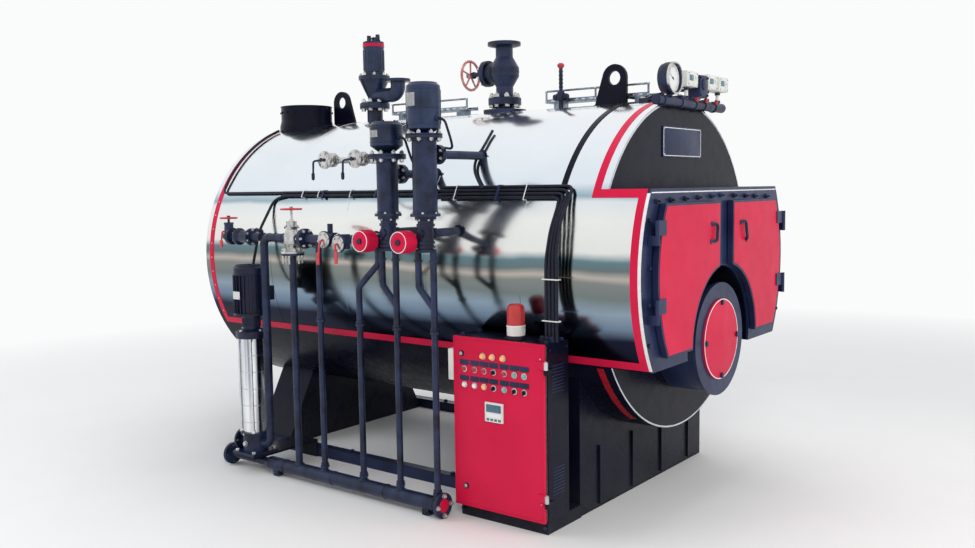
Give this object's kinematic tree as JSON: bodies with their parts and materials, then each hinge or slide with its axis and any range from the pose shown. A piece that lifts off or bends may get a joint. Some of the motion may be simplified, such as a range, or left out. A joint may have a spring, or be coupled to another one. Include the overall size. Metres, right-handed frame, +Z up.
{
  "type": "industrial boiler",
  "caption": "Horizontal fire-tube steam boiler with polished jacket, smokebox doors, blanked burner mouth, feed pump, level chambers, valves and a control cabinet.",
  "frame": {"origin": "on the floor, at the middle of the foot of the burner-end saddle, in the barrel's middle plane", "axes": "+X along the barrel towards the burner end, +Y to the side away from the cabinet and pump, +Z up"},
  "size_m": [3.299, 2.1462, 2.696],
  "materials": {
    "mill_steel": "mill",
    "mirror_steel": "polished",
    "black_gloss": "gloss",
    "red_enamel": "gloss",
    "zinc_sheet": "satin",
    "cast_black": "satin",
    "blue_paint": "satin",
    "wheel_red": "satin",
    "pale_box": "matte",
    "bright_valve": "satin",
    "red_lens": "gloss",
    "black_rubber": "satin"
  },
  "bodies": {
    "boiler": {"pressure_shell": "mill_steel", "jacket_upper": "mirror_steel", "jacket_lower": "black_gloss", "front_tube_plate": "black_gloss", "rear_end_plate": "black_gloss", "rear_access_cover": "black_gloss", "jacket_trim": "red_enamel", "jacket_bands": "black_gloss", "rear_saddle": "black_gloss", "front_saddle": "black_gloss", "skid_rails": "black_gloss", "smokebox_casing": "black_gloss", "smokebox_jacket": "mirror_steel", "smokebox_frame": "black_gloss", "burner_throat": "black_gloss", "burner_cover": "red_enamel", "lifting_lug_front": "black_gloss", "lifting_lug_rear": "black_gloss", "flue_collar": "black_gloss", "cable_trays": "zinc_sheet", "safety_valve_nozzle": "cast_black", "safety_valve_body": "cast_black", "safety_valve_bonnet": "blue_paint", "steam_nozzle": "cast_black", "main_valve_body": "cast_black", "vent_valve": "cast_black", "instrument_manifold": "cast_black", "pressure_gauge": "cast_black", "pressure_switches": "pale_box", "pressure_limiter": "cast_black", "level_chamber_rear": "cast_black", "level_chamber_front": "cast_black", "level_heads": "blue_paint", "drain_valve_rear": "cast_black", "drain_valve_front": "cast_black", "gauge_cocks": "bright_valve", "feed_line": "bright_valve", "feed_valve_body": "bright_valve", "check_valve": "blue_paint", "pump_foot": "cast_black", "pump_sleeve": "bright_valve", "pump_coupling": "cast_black", "pump_motor": "blue_paint", "pump_bracket": "black_gloss", "drain_header": "cast_black", "header_blank": "red_enamel", "drain_pipes": "cast_black", "cabinet_body": "black_gloss", "cabinet_plinth": "black_gloss", "beacon_base": "pale_box", "beacon_lens": "red_lens", "conduits": "black_rubber"},
    "smokebox_door_right_body": {"smokebox_door_right": "red_enamel"},
    "smokebox_door_left_body": {"smokebox_door_left": "red_enamel"},
    "cabinet_door_body": {"cabinet_door": "red_enamel"},
    "main_valve_wheel_body": {"main_valve_wheel": "wheel_red"},
    "feed_valve_wheel_body": {"feed_valve_wheel": "wheel_red"},
    "drain_wheel_rear_body": {"drain_wheel_rear": "wheel_red"},
    "drain_wheel_front_body": {"drain_wheel_front": "wheel_red"},
    "inlet_valve_wheel_body": {"inlet_valve_wheel": "wheel_red"}
  },
  "joints": [
    {"name": "right_smokebox_door_hinge", "type": "hinge", "parent": "boiler", "child": "smokebox_door_right_body", "pos_m": [0.628, -0.8, 1.24], "axis": [0, 0, -1], "range_deg": [0, 110]},
    {"name": "left_smokebox_door_hinge", "type": "hinge", "parent": "boiler", "child": "smokebox_door_left_body", "pos_m": [0.628, 0.8, 1.24], "axis": [0, 0, 1], "range_deg": [0, 110]},
    {"name": "cabinet_door_hinge", "type": "hinge", "parent": "boiler", "child": "cabinet_door_body", "pos_m": [0.182, -1.052, 0.498], "axis": [0, 0, 1], "range_deg": [0, 110]},
    {"name": "steam_valve_spindle", "type": "hinge", "parent": "boiler", "child": "main_valve_wheel_body", "pos_m": [-1.072, 0, 2.3615], "axis": [-1, 0, 0], "continuous": true},
    {"name": "feed_valve_spindle", "type": "hinge", "parent": "boiler", "child": "feed_valve_wheel_body", "pos_m": [-1.485, -1.12, 1.563], "axis": [0, 0, 1], "continuous": true},
    {"name": "inlet_valve_spindle", "type": "hinge", "parent": "boiler", "child": "inlet_valve_wheel_body", "pos_m": [-2.047, -1.12, 1.508], "axis": [0, 0, 1], "continuous": true},
    {"name": "rear_drain_spindle", "type": "hinge", "parent": "boiler", "child": "drain_wheel_rear_body", "pos_m": [-0.818, -1.254, 1.405], "axis": [0, -1, 0], "continuous": true},
    {"name": "front_drain_spindle", "type": "hinge", "parent": "boiler", "child": "drain_wheel_front_body", "pos_m": [-0.552, -1.254, 1.405], "axis": [0, -1, 0], "continuous": true}
  ]
}
